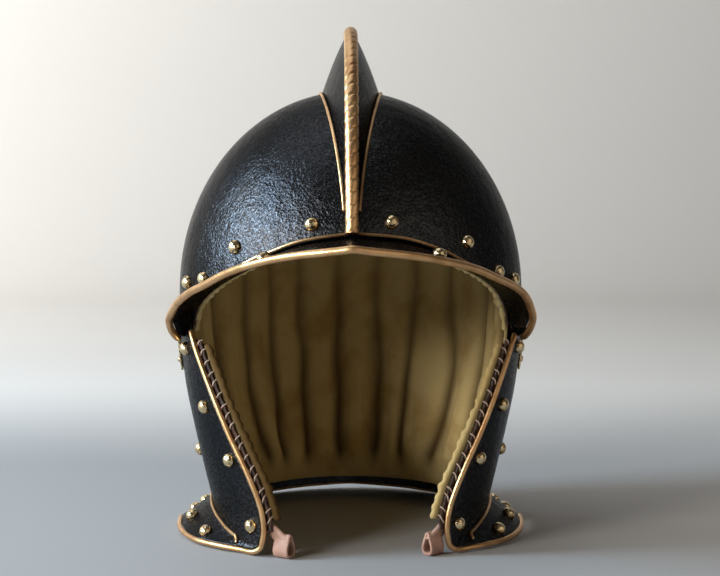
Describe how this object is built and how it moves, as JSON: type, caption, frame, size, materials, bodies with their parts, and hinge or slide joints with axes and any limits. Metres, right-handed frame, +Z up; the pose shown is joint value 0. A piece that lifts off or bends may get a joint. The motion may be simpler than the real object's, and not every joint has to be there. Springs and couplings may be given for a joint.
{
  "type": "burgonet helmet",
  "caption": "Open-faced steel helmet with a tall roped comb, a pointed peak over the brow, hinged cheek pieces, a flared neck guard, gilt rolled edges, domed rivets and a folded lining.",
  "frame": {"origin": "on the surface the helmet stands on, under the middle of its outer box", "axes": "+Z up to the comb, -Y the way the face looks, +X to the wearer's left"},
  "size_m": [0.221, 0.3102, 0.3104],
  "materials": {
    "black_steel": "blackened steel, satin, finely hammered",
    "gilt": "worn gilding, satin",
    "brass": "polished brass",
    "linen": "plain woven linen, padded",
    "dark_leather": "dark tanned leather, matte",
    "pale_leather": "pale leather, matte"
  },
  "bodies": {
    "helmet": {"brow_band": "dark_leather", "comb_line_left": "gilt", "comb_line_right": "gilt", "comb_rope": "gilt", "hinge_skull_left": "brass", "hinge_skull_right": "brass", "lining": "linen", "neck_edge": "gilt", "neck_guard": "black_steel", "neck_line": "gilt", "peak": "black_steel", "peak_edge": "gilt", "peak_line": "gilt", "rivet_brow_left_1": "brass", "rivet_brow_left_2": "brass", "rivet_brow_left_3": "brass", "rivet_brow_left_4": "brass", "rivet_brow_right_1": "brass", "rivet_brow_right_2": "brass", "rivet_brow_right_3": "brass", "rivet_brow_right_4": "brass", "rivet_nape_left_1": "brass", "rivet_nape_left_2": "brass", "rivet_nape_right_1": "brass", "rivet_nape_right_2": "brass", "rivet_neck_left_1": "brass", "rivet_neck_left_2": "brass", "rivet_neck_right_1": "brass", "rivet_neck_right_2": "brass", "rivet_peak_left": "brass", "rivet_peak_right": "brass", "skull": "black_steel"},
    "cheek_piece_left": {"cheek_band_left": "dark_leather", "cheek_edge_left": "gilt", "cheek_left": "black_steel", "cheek_line_left": "gilt", "cheek_lining_left": "linen", "hinge_cheek_left": "brass", "rivet_cheek_left_1": "brass", "rivet_cheek_left_2": "brass", "rivet_cheek_left_3": "brass", "rivet_cheek_left_4": "brass", "rivet_cheek_rear_left": "brass", "rivet_flare_left_1": "brass", "rivet_flare_left_2": "brass", "strap_loop_left": "pale_leather"},
    "cheek_piece_right": {"cheek_band_right": "dark_leather", "cheek_edge_right": "gilt", "cheek_line_right": "gilt", "cheek_lining_right": "linen", "cheek_right": "black_steel", "hinge_cheek_right": "brass", "rivet_cheek_rear_right": "brass", "rivet_cheek_right_1": "brass", "rivet_cheek_right_2": "brass", "rivet_cheek_right_3": "brass", "rivet_cheek_right_4": "brass", "rivet_flare_right_1": "brass", "rivet_flare_right_2": "brass", "strap_loop_right": "pale_leather"}
  },
  "joints": [
    {"name": "cheek_hinge_left", "type": "hinge", "parent": "helmet", "child": "cheek_piece_left", "pos_m": [0.1082, 0.01882, 0.1233], "axis": [0, -1, 0], "range_deg": [0, 70]},
    {"name": "cheek_hinge_right", "type": "hinge", "parent": "helmet", "child": "cheek_piece_right", "pos_m": [-0.1082, 0.01882, 0.1233], "axis": [0, 1, 0], "range_deg": [0, 70]}
  ]
}
